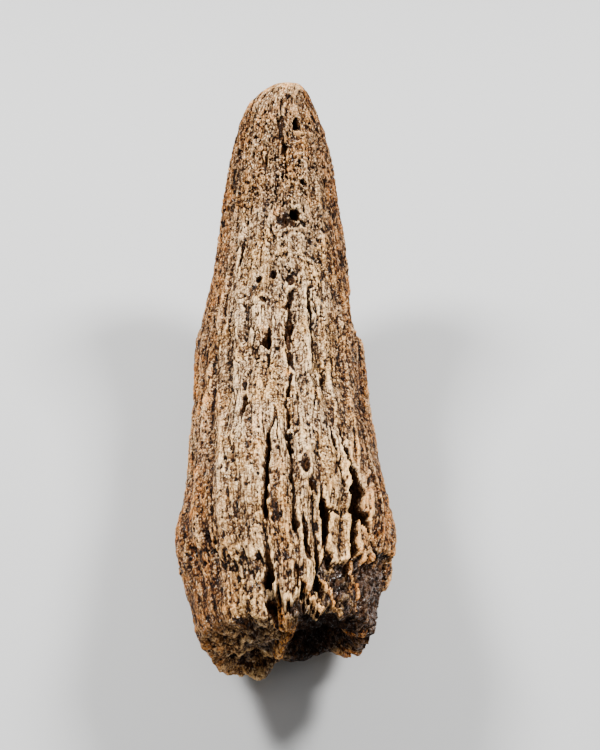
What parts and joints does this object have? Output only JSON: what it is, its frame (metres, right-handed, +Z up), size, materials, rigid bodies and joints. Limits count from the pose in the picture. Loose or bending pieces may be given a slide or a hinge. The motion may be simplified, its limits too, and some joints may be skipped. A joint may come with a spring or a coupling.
{
  "type": "fossil bison horn core",
  "caption": "Curved tapering bone cone of a horn, grooved along its length, with a jagged broken root and a blunt tip, lying on its convex underside.",
  "frame": {"origin": "middle of the footprint box, on the ground the core lies on", "axes": "+Z up, +Y from the broken root towards the raised tip, +X to the right seen from the root"},
  "size_m": [0.0898, 0.3174, 0.1273],
  "materials": {
    "fossil_bone": "weathered buff and red-brown fossil bone, satin where a consolidant has dried on it"
  },
  "bodies": {
    "root": {"horn_core": "fossil_bone"}
  },
  "joints": []
}
